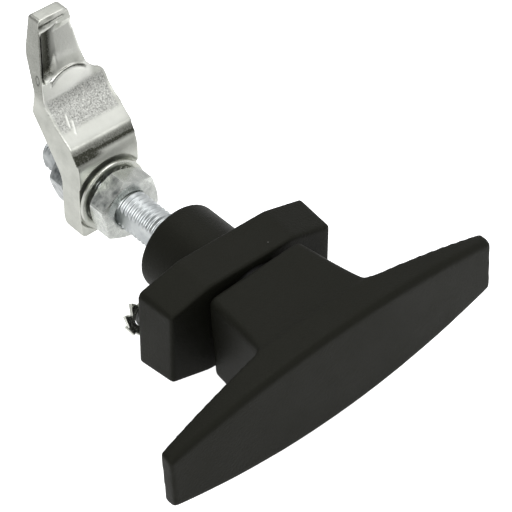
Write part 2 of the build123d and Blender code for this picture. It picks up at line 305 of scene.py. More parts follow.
def new_group(name, kind, inputs, outputs):
    """An empty node group; returns the tree, its inputs by name, and its output's sockets."""
    tree = bpy.data.node_groups.new(name, kind)
    for direction, sockets in (("INPUT", inputs), ("OUTPUT", outputs)):
        for label, (socket, value) in sockets.items():
            made = tree.interface.new_socket(label, in_out=direction, socket_type=socket)
            if value is not None:
                made.default_value = value
    given = tree.nodes.new("NodeGroupInput").outputs
    result = tree.nodes.new("NodeGroupOutput").inputs
    return tree, {label: Wire(given[label]) for label in inputs}, result


def new_effect(name, inputs, outputs):
    """An empty effect with numbers in and out; also returns the place on the piece."""
    inputs = {label: (FLOAT, value) for label, value in inputs.items()}
    outputs = {label: (FLOAT, None) for label in outputs}
    tree, given, result = new_group(name, "ShaderNodeTree", inputs, outputs)
    return tree, given, result, wire(tree, "ShaderNodeTexCoord", output="Object")


def noise(place, scale, detail, roughness=0.5):
    """Cloudy noise around 0.5."""
    inputs = {"Vector": place, "Scale": scale, "Detail": detail, "Roughness": roughness}
    return wire(place.tree, "ShaderNodeTexNoise", inputs)


print("group helpers ready")

# %% Effect: fine grain
FINE_TO_COARSE = 3.1


def make_grain():
    """Two sizes of noise, as a height and as a slow drift between 0 and 1."""
    inputs = {"Per Metre": 2000.0, "Fine Share": 0.4, "Drift Per Metre": 90.0}
    tree, given, result, place = new_effect("fine_grain", inputs, ["Height", "Drift"])
    coarse = noise(place, given["Per Metre"], 3.0)
    fine = noise(place, given["Per Metre"] * FINE_TO_COARSE, 2.0)
    plug(coarse + fine * given["Fine Share"], result["Height"])
    drift = noise(place, given["Drift Per Metre"], 4.0, 0.6)
    plug(remap(drift, 0.0, 1.0, 0.3, 0.7), result["Drift"])
    return tree


GRAIN = make_grain()
print("effect:", GRAIN.name)

# %% Effect: light wear along the edges
WEAR_PATCHES_PER_METRE = 420.0


def make_edge_wear():
    """A mask on convex edges, broken up by noise."""
    inputs = {"Amount": 0.5, "Start": 0.52, "Full": 0.62}
    tree, given, result, place = new_effect("edge_wear", inputs, ["Mask"])
    convex = wire(tree, "ShaderNodeNewGeometry", output="Pointiness")
    edge = remap(convex, 0.0, 1.0, given["Start"], given["Full"])
    patches = remap(noise(place, WEAR_PATCHES_PER_METRE, 4.0), 0.0, 1.0, 0.35, 0.6)
    plug(edge * patches * given["Amount"], result["Mask"])
    return tree


EDGE_WEAR = make_edge_wear()
print("effect:", EDGE_WEAR.name)


# %% Effect: sparse specks
def make_specks():
    """Small far-apart dots, from the middles of a few cells of a cell pattern."""
    inputs = {"Per Metre": 160.0, "Radius": 0.03, "Share": 0.12}
    tree, given, result, place = new_effect("specks", inputs, ["Mask"])
    pattern = {"Vector": place, "Scale": given["Per Metre"]}
    cells = add_node(tree, "ShaderNodeTexVoronoi", pattern).outputs
    near = calc("LESS_THAN", Wire(cells["Distance"]), given["Radius"])
    lot = wire(tree, "ShaderNodeSeparateColor", {"Color": Wire(cells["Color"])})
    plug(near * calc("LESS_THAN", lot, given["Share"]), result["Mask"])
    return tree


SPECKS = make_specks()
print("effect:", SPECKS.name)


# %% A material's common parts
def start_material(name, metallic, specular=0.5):
    """A new material, its tree and its shader's inputs."""
    material = bpy.data.materials.new(name)
    material.use_nodes = True
    shader = material.node_tree.nodes["Principled BSDF"].inputs
    shader["Metallic"].default_value = metallic
    shader["Specular IOR Level"].default_value = specular
    return material, material.node_tree, shader


def place_effect(tree, effect, **values):
    """Puts an effect in a material with its own values, and returns its outputs by name."""
    made = add_node(tree, "ShaderNodeGroup", node_tree=effect)
    for key, value in values.items():
        made.inputs[key.replace("_", " ").title()].default_value = value
    return {socket.name: Wire(socket) for socket in made.outputs}


def scaled(colour, times):
    """A colour made lighter or darker, with no channel over 1."""
    return [min(1.0, channel * times) for channel in colour]


def blend_colours(share, low, high):
    """A colour between low and high; each is plain or a wire."""
    made = add_node(share.tree, "ShaderNodeMix", data_type="RGBA")
    plug(share, made.inputs["Factor"])
    for value, socket in ((low, made.inputs[6]), (high, made.inputs[7])):
        plug(value if isinstance(value, Wire) else (*value, 1.0), socket)
    return Wire(made.outputs[2])


def set_skin(shader, colour, roughness, height, depth_mm):
    """Gives the shader its colour, its roughness and a bump of this depth."""
    plug(colour, shader["Base Color"])
    plug(roughness, shader["Roughness"])
    inputs = {"Height": height, "Distance": depth_mm * MM, "Strength": 1.0}
    plug(wire(height.tree, "ShaderNodeBump", inputs), shader["Normal"])


print("material helpers ready")

# %% [markdown]
# ## Black powder coat
# The handle and the flange are sprayed with powder and baked. That leaves a satin black skin with
# a very fine orange peel, which is a bump of two noises and not a picture. A black this deep
# shows form only by its sheen. So its specular level is low and slightly warm, the roughness
# drifts a little, and the edges are rubbed a shade paler.

# %% Black powder coat
COAT_BLACK = (0.0058, 0.0060, 0.0042)
COAT_WORN = (0.018, 0.018, 0.015)
COAT_SPECK = (0.16, 0.16, 0.15)
COAT_SHEEN = (1.0, 1.0, 0.86, 1.0)
COAT_PEEL_MM = 0.080


def make_powder_coat():
    """Satin black with a very fine skin, paler where the edges are rubbed, and a few specks."""
    material, tree, shader = start_material("powder_coat", metallic=0.0, specular=0.12)
    shader["Specular Tint"].default_value = COAT_SHEEN
    grain = place_effect(tree, GRAIN, per_metre=1900.0, fine_share=0.6, drift_per_metre=70.0)
    wear = place_effect(tree, EDGE_WEAR, amount=0.5, start=0.51, full=0.60)
    specks = place_effect(tree, SPECKS, per_metre=150.0, radius=0.022, share=0.06)
    drifting = blend_colours(grain["Drift"], COAT_BLACK, scaled(COAT_BLACK, 1.18))
    worn = blend_colours(wear["Mask"], drifting, COAT_WORN)
    dusty = blend_colours(specks["Mask"], worn, COAT_SPECK)
    satin = remap(grain["Drift"], 0.46, 0.54)
    set_skin(shader, dusty, satin, grain["Height"], COAT_PEEL_MM)
    return material


POWDER_COAT = make_powder_coat()
print("finish:", POWDER_COAT.name)

# %% [markdown]
# ## Zinc plate
# Shaft, nuts, washers and studs are steel under bright zinc. Plating is a metal, so nearly all of
# its look is reflection: the material is fully metallic, and noise clouds its colour and gloss.
# One function makes every plating, because they differ only in tone, grain and wear. The nuts
# are cloudier and more rubbed at the corners than the shaft, and that rubbing also paints a
# highlight on their corners. The rear nut and the studs are painted darker, as painted shade for
# where they sit behind other pieces. Where a mesh attribute asks for it, the plating goes dark
# and patchy: painted shade on the shaft's end and a painted dark reflection on one nut flat.

# %% Zinc plate
ZINC_LIGHT = (0.62, 0.63, 0.58)
ZINC_DARK = (0.47, 0.48, 0.44)
SHAFT_LIGHT = (0.59, 0.615, 0.615)
SHAFT_DARK = (0.41, 0.435, 0.445)
NUT_LIGHT = (0.64, 0.66, 0.625)
NUT_DARK = (0.44, 0.455, 0.44)
# painted shade: the rear nut and the studs take darker tones of the same zinc, for where they sit
# in shade
SHADED_REAR_NUT_LIGHT = (0.42, 0.44, 0.44)
SHADED_REAR_NUT_DARK = (0.22, 0.235, 0.24)
SHADED_STUD_LIGHT = (0.13, 0.135, 0.13)
SHADED_STUD_DARK = (0.06, 0.062, 0.06)
# painted shade: the dark tone that a mesh attribute paints onto the plating
PAINTED_DARK_TINT = (0.08, 0.09, 0.09)
# the nuts' strong edge wear is rubbed plating and also a painted highlight along their corners
NUT_SKIN = {"grain_size": 1300.0, "depth_mm": 0.016, "clouds": 650.0, "wear": 0.9}


def make_zinc(name, light, dark, gloss, grain_size, depth_mm, clouds=110.0, wear=0.3):
    """Bright plating, cloudy in colour and gloss; gloss is its lowest roughness, and grain_size
    and clouds count per metre."""
    material, tree, shader = start_material(name, metallic=1.0)
    grain = place_effect(
        tree, GRAIN, per_metre=grain_size, fine_share=0.5, drift_per_metre=clouds
    )
    edge = place_effect(tree, EDGE_WEAR, amount=wear, start=0.52, full=0.62)
    cloudy = blend_colours(grain["Drift"], dark, light)
    # a mesh attribute paints the plating dark and patchy here: painted shade and painted dark
    # reflections
    mark = wire(tree, "ShaderNodeAttribute", output="Fac", attribute_name="painted_dark")
    patchy = calc("MULTIPLY", mark, remap(grain["Drift"], 1.35, 0.65), use_clamp=True)
    shaded = blend_colours(patchy, cloudy, PAINTED_DARK_TINT)
    rubbed = blend_colours(edge["Mask"], shaded, scaled(light, 1.2))
    uneven = remap(grain["Drift"], gloss + 0.08, gloss)
    set_skin(shader, rubbed, uneven, grain["Height"], depth_mm)
    return material


NUT_ZINC = make_zinc("nut_plating", NUT_LIGHT, NUT_DARK, 0.24, **NUT_SKIN)
# painted shade: darker copies of the nut plating for the rear nut and for the studs
SHADED_REAR_NUT_ZINC = make_zinc("rear_nut_painted_shade", SHADED_REAR_NUT_LIGHT, SHADED_REAR_NUT_DARK, 0.26, **NUT_SKIN)
SHADED_STUD_ZINC = make_zinc(
    "stud_plating", SHADED_STUD_LIGHT, SHADED_STUD_DARK, 0.34, grain_size=1100.0, depth_mm=0.012
)
SHAFT_ZINC = make_zinc(
    "shaft_plating", SHAFT_LIGHT, SHAFT_DARK, 0.28, grain_size=1200.0, depth_mm=0.008, clouds=300.0
)
PRESSED_ZINC = make_zinc(
    "washer_plating", ZINC_LIGHT, ZINC_DARK, 0.24, grain_size=1400.0, depth_mm=0.006, wear=0.6
)
PLATINGS = (NUT_ZINC, SHADED_REAR_NUT_ZINC, SHADED_STUD_ZINC, SHAFT_ZINC, PRESSED_ZINC)
print("finishes:", ", ".join(plating.name for plating in PLATINGS))

# %% [markdown]
# ## Zinc plate over a casting
# Plating copies the skin under it. On the cam it is sandy where the mould left the metal rough.
# Painted shade darkens it in hollows, creases, under its lips and on parts of its sides, and
# painted highlights lighten its ridges and open faces. Noise alone can't know where those places
# are. So this material reads three masks that the cam's mesh carries as attributes, and noise only
# breaks them up.

# %% Zinc plate over the cast cam
# painted highlight colour, also used for rubbed edges; the next colour is painted shade
CAST_WEAR_AND_HIGHLIGHT = (0.92, 0.93, 0.88)
CAST_SHADE = (0.045, 0.046, 0.036)
SAND_LIGHT = (0.70, 0.705, 0.67)
SAND_DARK = (0.18, 0.185, 0.17)
SAND_ROUGHER = 1.6
CAST_SKIN_MM = 0.030


def make_cast_plating():
    """Plating that turns sandy where the mesh says so, and takes painted shade and painted
    highlights.
    """
    material, tree, shader = start_material("cast_plating", metallic=1.0)
    grain = place_effect(tree, GRAIN, per_metre=1500.0, fine_share=0.5, drift_per_metre=130.0)
    sand = place_effect(tree, GRAIN, per_metre=2600.0, fine_share=0.9, drift_per_metre=2500.0)
    edge = place_effect(tree, EDGE_WEAR, amount=0.3, start=0.53, full=0.60)
    # a real sandy patch, a mask of painted shade and a mask of painted highlights
    sandy, painted_shade, painted_highlight = (
        wire(tree, "ShaderNodeAttribute", output="Fac", attribute_name=label)
        for label in ("sandy", "painted_shade", "painted_highlight")
    )
    cloudy = blend_colours(grain["Drift"], ZINC_DARK, ZINC_LIGHT)
    highlighted = blend_colours(painted_highlight, cloudy, CAST_WEAR_AND_HIGHLIGHT)
    grains = blend_colours(sand["Drift"], SAND_DARK, SAND_LIGHT)
    worn = blend_colours(edge["Mask"], blend_colours(sandy, highlighted, grains), CAST_WEAR_AND_HIGHLIGHT)
    # painted shade, broken up by the sand's noise
    shade_amount = calc("MULTIPLY", painted_shade, remap(sand["Drift"], 0.85, 1.3), use_clamp=True)
    shaded = blend_colours(shade_amount, worn, CAST_SHADE)
    height = calc("MULTIPLY_ADD", sand["Height"] * sandy, SAND_ROUGHER, grain["Height"])
    set_skin(shader, shaded, remap(grain["Drift"], 0.38, 0.31), height, CAST_SKIN_MM)
    return material


CAST_ZINC = make_cast_plating()
print("finish:", CAST_ZINC.name)

# %% [markdown]
# ## Spring steel, acetal and rubber
# The pin, the disc spring and the snap ring are dark, oiled spring steel. It is the plating's
# recipe in a darker tone. The thrust washer is acetal, a hard slippery plastic, and the seal is
# rubber. Both are a plain dark material with a fine skin, and differ in how much they shine.

# %% Spring steel, acetal and rubber
STEEL_TINT = (0.23, 0.225, 0.22)
ACETAL_BLACK = (0.004, 0.004, 0.004)
RUBBER_BLACK = (0.018, 0.018, 0.018)
STEEL_DARK = scaled(STEEL_TINT, 0.7)
SPRING_STEEL = make_zinc(
    "spring_finish", STEEL_TINT, STEEL_DARK, 0.30, grain_size=1300.0, depth_mm=0.006, wear=0.8
)


def make_dark_finish(name, black, roughness, specular, grain_size, depth_mm):
    """A plain dark plastic or rubber with a fine skin; grain_size counts per metre."""
    material, tree, shader = start_material(name, metallic=0.0, specular=specular)
    grain = place_effect(
        tree, GRAIN, per_metre=grain_size, fine_share=0.5, drift_per_metre=120.0
    )
    colour = blend_colours(grain["Drift"], black, scaled(black, 1.5))
    matt = remap(grain["Drift"], roughness, roughness + 0.06)
    set_skin(shader, colour, matt, grain["Height"], depth_mm)
    return material


ACETAL = make_dark_finish(
    "acetal_finish", ACETAL_BLACK, 0.32, specular=0.07, grain_size=2400.0, depth_mm=0.006
)
RUBBER = make_dark_finish(
    "rubber_finish", RUBBER_BLACK, 0.62, specular=0.4, grain_size=3000.0, depth_mm=0.010
)
print("finishes:", SPRING_STEEL.name, ACETAL.name, RUBBER.name)

# %% [markdown]
# ## Castings with softened edges
# The handle and the flange are die castings under a thick coat, so no edge of the real ones is
# sharp. Each starts as a copy of its solid, so no main size changes. The copy is remeshed into
# one even skin of small faces. Smoothing that skin melts the edges the way thick paint does, and
# leaves the flat faces flat. The smoothed skin then stands in for the solid.


# %% Copy helpers
def apply_modifiers(obj):
    """Replaces the object's mesh with its evaluated mesh and clears its modifiers."""
    graph = bpy.context.evaluated_depsgraph_get()
    mesh = bpy.data.meshes.new_from_object(obj.evaluated_get(graph), depsgraph=graph)
    obj.modifiers.clear()
    obj.data = mesh
    return obj


def solid_copy(node, name):
    """A copy of a solid's mesh with its doubles merged and its flat faces joined up."""
    obj = bpy.data.objects.new(name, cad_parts[node].data.copy())
    bpy.context.scene.collection.objects.link(obj)
    shape = bmesh.new()
    shape.from_mesh(obj.data)
    bmesh.ops.remove_doubles(shape, verts=shape.verts, dist=0.5 * MM * MM)
    bmesh.ops.dissolve_limit(
        shape, angle_limit=math.radians(0.6), verts=shape.verts, edges=shape.edges
    )
    shape.to_mesh(obj.data)
    shape.free()
    return obj


def add_relax(obj, passes):
    """A Smooth modifier that pulls each point halfway to its neighbours, so many times."""
    relax = obj.modifiers.new("relax", "SMOOTH")
    relax.factor = 0.5
    relax.iterations = passes
    return relax


def even_skin(obj, size_mm, passes):
    """One closed skin of small even faces, smoothed a few times."""
    remesh = obj.modifiers.new("even_skin", "REMESH")
    remesh.mode = "VOXEL"
    remesh.voxel_size = size_mm * MM
    add_relax(obj, passes)
    return apply_modifiers(obj)


def round_edges(obj, radius_mm, segments, sharper_than):
    """Rounds the edges whose faces meet at more than an angle in degrees."""
    bevel = obj.modifiers.new("round_edges", "BEVEL")
    bevel.width = radius_mm * MM
    bevel.segments = segments
    bevel.limit_method = "ANGLE"
    bevel.angle_limit = math.radians(sharper_than)
    bevel.miter_outer = "MITER_ARC"
    return apply_modifiers(obj)


def shade(obj, material, smooth_below):
    """Gives a mesh its finish, and smooth shading except at edges past an angle in degrees."""
    obj.data.materials.clear()
    obj.data.materials.append(material)
    obj.data.shade_smooth()
    obj.data.set_sharp_from_angle(angle=math.radians(smooth_below))
    return obj


def stand_in(obj, body, slot, *nodes):
    """The piece rides on its body and replaces its solids; slot is not used."""
    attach(obj, body)
    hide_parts(*nodes)
    print(f"{obj.name}: {len(obj.data.polygons)} faces")


print("copy helpers ready")

# %% [markdown]
# ## Reading and moving a skin
# Small marks and flares are easier to say as a formula than to model by hand: each point of the
# fine skin moves by an amount that depends on where it is. numpy does that for all points at
# once. The formulas are built from fade, a soft step, and hump, a soft bell, and their lengths
# are in millimetres.


# %% Skin helpers
def fade(value, start, full):
    """0 before start, 1 past full, smooth between; start may be the larger."""
    share = np.clip((value - start) / (full - start), 0, 1)
    return share * share * (3 - 2 * share)


def between(value, start, full, last, end):
    """1 from full to last, fading to 0 at start and at end."""
    return fade(value, start, full) * fade(value, end, last)


def hump(distance, width):
    """1 at no distance, and soft as a bell to both sides."""
    return np.exp(-((distance / width) ** 2))


def read_skin(obj):
    """Points in millimetres, and how far each faces the front, from -1 to 1."""
    points = np.empty(len(obj.data.vertices) * 3)
    obj.data.vertices.foreach_get("co", points)
    facing = np.empty(len(obj.data.vertices) * 3)
    obj.data.vertices.foreach_get("normal", facing)
    return points.reshape(-1, 3) / MM, -facing.reshape(-1, 3)[:, 1]


def write_skin(obj, points):
    """Moves the mesh's points to these places in millimetres."""
    obj.data.vertices.foreach_set("co", (points * MM).ravel())
    obj.data.update()


def store_mask(obj, name, values):
    """Keeps a number from 0 to 1 for each point, which a material can read by this name."""
    layer = obj.data.attributes.new(name, "FLOAT", "POINT")
    layer.data.foreach_set("value", np.clip(values, 0, 1))


print("skin helpers ready")

# %% [markdown]
# ## Handle and flange
# The handle is one casting: a curved bar on a square stem. On the real one the stem flares a
# little where it meets the bar, and its top and bottom rise to the bar's height, as metal does
# in a mould with generous fillets. The flare is a formula on the skin, measured along the bar,
# which stands a few degrees off the flange. The flange needs only its edges melted.

# %% Handle's flare
BAR_BACK = -32.6
BAR_HALF_LENGTH = 48.5
BAR_HALF_HEIGHT = 14.0
BAR_ARCH = 6.0
STEM_HALF_WIDTH = 15.4
STEM_LENGTH = 20.0
HANDLE_LEAD = math.radians(4)
FLARE = 1.3
FLARE_FADE = 4.0
STEM_BELOW_BAR = 0.2


def stem_flare(points):
    """Widens the stem towards the bar and lets its top and bottom rise to meet the bar's."""
    cosine, sine = math.cos(HANDLE_LEAD), math.sin(HANDLE_LEAD)
    x = points[:, 0] * cosine + points[:, 2] * sine
    z = points[:, 2] * cosine - points[:, 0] * sine
    behind = np.maximum(points[:, 1] - BAR_BACK, 0)
    side = np.minimum(np.abs(x) / STEM_HALF_WIDTH, 1) ** 4
    side = side * np.exp(-np.maximum(np.abs(x) - STEM_HALF_WIDTH, 0) / FLARE_FADE)
    out = FLARE * np.clip(1 - behind / STEM_LENGTH, 0, 1) * side * np.sign(x)
    out = out * fade(points[:, 1], BAR_BACK - 5, BAR_BACK)
    bar_top = BAR_HALF_HEIGHT - STEM_BELOW_BAR - BAR_ARCH * (x / BAR_HALF_LENGTH) ** 2
    short = np.maximum(bar_top - np.abs(z), 0) * fade(np.abs(z), 11, 12.5)
    rise = short * np.exp(-behind / FLARE_FADE) * (points[:, 1] > BAR_BACK - 0.3) * np.sign(z)
    rise = rise * fade(np.abs(x), STEM_HALF_WIDTH + 1.5, STEM_HALF_WIDTH)
    move = np.zeros_like(points)
    move[:, 0] = out * cosine - rise * sine
    move[:, 2] = out * sine + rise * cosine
    return move


# %% Handle and flange
HANDLE_SKIN_MM = 0.36
FLANGE_SKIN_MM = 0.35
COAT_ROUND_MM = 0.75
handle = solid_copy("handle", "t_handle")
handle = round_edges(handle, COAT_ROUND_MM, segments=3, sharper_than=24)
handle = even_skin(handle, HANDLE_SKIN_MM, passes=6)
points, _ = read_skin(handle)
write_skin(handle, points + stem_flare(points))
add_relax(handle, passes=14)
apply_modifiers(handle)
handle = shade(handle, POWDER_COAT, smooth_below=60)
stand_in(handle, "handle_body", "black_powder_coat", "handle")
flange = even_skin(solid_copy("housing", "flange_housing"), FLANGE_SKIN_MM, passes=8)
flange = shade(flange, POWDER_COAT, smooth_below=60)
stand_in(flange, "housing_body", "black_powder_coat", "housing")

# %% [markdown]
# ## Cast cam
# The cam is a casting under bright zinc. Even its sharpest edges are a little round, and its
# skin rolls over every step. The copy of its solid is remeshed and relaxed like the handle. The
# bend over the hub is relaxed much more, because its metal turns in one soft curve. Faces are
# split where small marks follow, so the marks have room.

# %% Cam: remesh and relax
CAM_SKIN_MM = 0.30
MARKS_FROM = 12.5
PIT_MIDDLE = (55.7, 30.4)
PIT_ROOM = 2.4
BEND_PASSES = 40


def wants_marks(face):
    """The front skin, and the side skin round the pit beside the nose."""
    _, y, z = face.calc_center_median() / MM
    near_pit = math.hypot(y - PIT_MIDDLE[0], z - PIT_MIDDLE[1]) < PIT_ROOM
    on_front = z > MARKS_FROM and face.normal.y < -0.3
    return on_front or (near_pit and face.normal.x < -0.8)


def finer_where(obj, chosen):
    """Splits the faces that chosen picks."""
    shape = bmesh.new()
    shape.from_mesh(obj.data)
    edges = {edge for face in shape.faces if chosen(face) for edge in face.edges}
    bmesh.ops.subdivide_edges(
        shape, edges=sorted(edges, key=lambda edge: edge.index), cuts=1, use_grid_fill=True
    )
    shape.to_mesh(obj.data)
    shape.free()


def relax_where(obj, weights, passes):
    """Smooths the skin in proportion to the weights."""
    group = obj.vertex_groups.new(name="relaxed")
    for index in np.flatnonzero(weights > 0.02):
        group.add([int(index)], float(weights[index]), "REPLACE")
    add_relax(obj, passes).vertex_group = group.name
    apply_modifiers(obj)
    obj.vertex_groups.clear()


cam = even_skin(solid_copy("cam", "cast_cam"), CAM_SKIN_MM, passes=5)
finer_where(cam, wants_marks)
points, facing = read_skin(cam)
bend = between(points[:, 2], 13.4, 15.0, 17.2, 18.6) * fade(facing, 0.2, 0.4)
relax_where(cam, bend, BEND_PASSES)
print("cam skin:", len(cam.data.polygons), "faces")

# %% [markdown]
# ## Marks of the casting
# Seen from the front, the cam has a hub, a sloped web, and a nose with a dish cut into it. The
# web swells up to a curved brow under the dish. The dish runs out towards the brow and rises in
# a cove to its straight left side. The nose's tip has a groove and a thin lip, and two short
# marks low on the web show where the metal met itself. Each mark is one small function of where
# a point is, in millimetres, and says how far the point moves along Y. Less than zero comes
# forward.

# %% Lines and arcs that the marks follow
NOSE_FACE = 54.0
DISH_BACK = 57.0
DISH_LOW = 30.2
DISH_HIGH = 46.0
DISH_FLOOR = NOSE_FACE + 0.05
SLOPE_TOP = 23.0
BROW_MIDDLE = (-0.9, 24.1)
BROW_RADIUS = 7.8
BROW_LIP = 0.10
BROW_FOLD = 0.80
FLOW_WIDTH = 0.31
TIP_LIP_WIDTH = 0.26


def stroke(x, z, start, end, width):
    """A soft ridge along a short line seen from the front."""
    start, end = np.array(start), np.array(end)
    line = end - start
    share = ((x - start[0]) * line[0] + (z - start[1]) * line[1]) / (line @ line)
    share = np.clip(share, 0, 1)
    away = np.hypot(x - start[0] - share * line[0], z - start[1] - share * line[1])
    return hump(away, width)


def tip_groove(x, z):
    """A groove across the tip's front that narrows to the right."""
    wide = stroke(x, z, (-9.0, 46.8), (-8.2, 46.8), 0.75)
    middle = stroke(x, z, (-8.5, 46.9), (-5.5, 47.05), 0.38)
    return np.maximum.reduce([wide, middle, stroke(x, z, (-5.5, 47.1), (-2.1, 47.35), 0.24)])


def tip_lip(x, z):
    """The thin lip between the groove and the dish."""
    low = stroke(x, z, (-8.9, 45.4), (-5.8, 45.75), TIP_LIP_WIDTH)
    return np.maximum(low, stroke(x, z, (-5.8, 45.75), (-4.0, 46.3), TIP_LIP_WIDTH))


def flow_marks(x, z):
    """Two short marks low on the web."""
    left = stroke(x, z, (-5.1, 20.8), (-5.8, 19.3), FLOW_WIDTH)
    return np.maximum(left, stroke(x, z, (-4.4, 19.7), (-5.3, 18.2), FLOW_WIDTH))


def past_brow(x, z):
    """How far a point lies past the brow's arc."""
    return np.hypot(x - BROW_MIDDLE[0], z - BROW_MIDDLE[1]) - BROW_RADIUS


def brow_line(x, z, inside, width):
    """A soft line this far inside the brow's arc, which fades out where the brow ends."""
    ends = between(x, -6.7, -5.7, 3.0, 4.2) * fade(z, 27.0, 28.5)
    return hump(past_brow(x, z) + inside, width) * ends


print("brow's radius:", BROW_RADIUS, "mm")

# %% Marks that move the skin
SWELL_RADIUS = 9.0
SWELL_WIDER = 3.0
SWELL_LEAN = 0.523
RUN_OUT_SLOPE = 0.26
RUN_OUT_DEEPEST = 3.0
RUN_OUT_SOFTNESS = 0.35
TIP_SLOPE = 0.45
COVE_RADIUS = 3.0
COVE_SHARE = 0.6
GROOVE_DEEP = 0.30
TIP_LIP_PROUD = 0.16
TIP_CHAMFER = 0.7
BROW_LIP_PROUD = 0.20
BROW_FOLD_DEEP = 0.36
FLOW_PROUD = 0.30


def web_swell(x, y, z):
    """The web swells up to the brow in one soft hollow curve, wider to the right."""
    curve = SWELL_RADIUS + SWELL_WIDER * fade(x, 0, 7)
    middle = SLOPE_TOP + SWELL_LEAN * curve
    inside = (z > SLOPE_TOP - 0.30 * curve) & (z < middle) & (y < 55)
    surface = NOSE_FACE - curve + np.sqrt(np.maximum(curve**2 - (z - middle) ** 2, 0))
    return np.where(inside, np.minimum(surface - y, 0), 0) * fade(z, 19.0, 20.5)


def in_dish(x, y, z):
    """Whether a point lies in the dish or on the edge of its brow."""
    return (y > NOSE_FACE + 0.1) & (y < DISH_BACK) & (z < 46.5) & (past_brow(x, z) > -0.6)


def dish_run_out(x, y, z):
    """The dish's floor comes forward in a gentle slope that ends at the brow."""
    deep = RUN_OUT_DEEPEST * fade(x, -3.6, -7.2) * fade(z, 30.4, 34.5)
    slope = NOSE_FACE + 0.12 + RUN_OUT_SLOPE * np.maximum(past_brow(x, z), 0) + deep
    over = y - slope
    over = (over + np.hypot(over, RUN_OUT_SOFTNESS)) / 2
    return -np.where(in_dish(x, y, z), np.minimum(over, y - DISH_FLOOR), 0)


def dish_tip_fill(x, y, z):
    """The dish also runs out towards the right end of the tip."""
    near_tip = DISH_FLOOR + TIP_SLOPE * np.maximum(45.9 - z, 0)
    inside = in_dish(x, y, z) & (z > 42) & (z < 46.2)
    return np.where(inside, np.minimum(near_tip - y, 0), 0) * fade(x, -5.0, -2.0)


def dish_cove(x, y, z):
    """The dish rises to its straight left side in a cove."""
    reach = COVE_RADIUS - np.clip(x + 8.5, 0, COVE_RADIUS)
    cove = COVE_RADIUS - np.sqrt(np.maximum(COVE_RADIUS**2 - reach**2, 0))
    inside = (y > NOSE_FACE + 0.2) & (y < DISH_BACK) & (z > DISH_LOW) & (z < DISH_HIGH)
    return -np.where(inside, np.minimum(COVE_SHARE * cove, y - DISH_FLOOR), 0)


def tip_marks(x, z, facing):
    """The tip's groove, the lip below it, and the chamfer above it."""
    tip = fade(facing, 0.5, 0.8) * (z > 44.9) * (z < 47.9)
    marks = (GROOVE_DEEP * tip_groove(x, z) - TIP_LIP_PROUD * tip_lip(x, z)) * tip
    return marks + TIP_CHAMFER * np.maximum(z - 47.6, 0) * fade(x, -9.0, -3.0)


def brow_marks(x, z):
    """A thin lip along the brow with a fold under it."""
    lip = BROW_LIP_PROUD * brow_line(x, z, BROW_LIP, 0.30)
    return BROW_FOLD_DEEP * brow_line(x, z, BROW_FOLD, 0.34) - lip


def cast_marks(points, facing):
    """How far each point moves along Y."""
    x, y, z = points.T
    front = fade(facing, 0.25, 0.5) * fade(z, MARKS_FROM, 13.5)
    move = web_swell(x, y, z) + dish_tip_fill(x, y, z) + dish_cove(x, y, z)
    move = move + tip_marks(x, z, facing) + brow_marks(x, z)
    move = move - FLOW_PROUD * flow_marks(x, z)
    # by the dish's left side the run-out moves the wall too, or a crack would open beside it
    skin = np.where((x < -4) & (x > -8.85), fade(facing, -0.5, -0.2), front)
    return move * front + dish_run_out(x, y, z) * skin


points, facing = read_skin(cam)
move = cast_marks(points, facing)
points[:, 1] += move
write_skin(cam, points)
print("the marks stand", round(float(-move.min()), 2), "mm proud at most")

# %% [markdown]
# ## Where the cam is sandy, and where light and shade are painted
# The plating's material reads these three masks. The web is sandy. Painted shade darkens the bend
# over the hub, the groove, the fold under the brow and the dish's left side, and also the flank
# beside the nose, the rim of a small pit on it and the tip's top edge. Two spots in the dish and
# the hub towards the bend are a little darker. Painted highlights lighten the bend's crest, the
# web's left edge and top, the brow's lip, the dish's floor and the two marks. Each mask is the
# highest of its patches, so patches may overlap.

# %% Masks the plating follows
BEND_LINE = 14.0


def sandy_mask(x, z, front):
    """The rough patch on the web, without the two marks."""
    top = 24.8 + 1.3 * fade(x, -6.0, 8.0)
    patch = between(z, 18.2, 19.2, top - 0.8, top + 0.8) * between(x, -8.8, -8.0, 8.4, 9.1)
    return patch * (1 - flow_marks(x, z)) * front


def dull_front_mask(x, y, z):
    """Painted shade on the front in hollows, creases and under lips, and two darker spots in the
    dish.
    """
    bend = 0.72 * between(z, 13.2, 13.8, 14.9, 16.7)
    bend_line = hump(z - BEND_LINE, 0.80)
    left_corner = 0.95 * fade(x, 1.5, -4.0) * between(z, 11.7, 12.8, 14.5, 15.2)
    fold = 0.9 * brow_line(x, z, BROW_FOLD, 0.40)
    groove = 0.9 * tip_groove(x, z) * (z < 48.2)
    wedge = 0.85 * stroke(x, z, (-6.2, 45.0), (-4.4, 45.9), 0.35)
    dish_foot = fade(x, -3.4, -6.0) * between(z, DISH_LOW, 31.6, 45.0, DISH_HIGH)
    dish_foot = dish_foot * (y > NOSE_FACE + 0.03) * (0.4 + 0.4 * fade(z, 37, 34))
    low_dark_spot = 0.3 * hump(np.hypot(x - 4.6, z - DISH_LOW), 1.6)
    high_dark_spot = 0.3 * hump(np.hypot(x - 1.2, z - 32.0), 1.3)
    line_work = [bend_line, fold, groove, wedge]
    return np.maximum.reduce([bend, left_corner, dish_foot, low_dark_spot, high_dark_spot, *line_work])


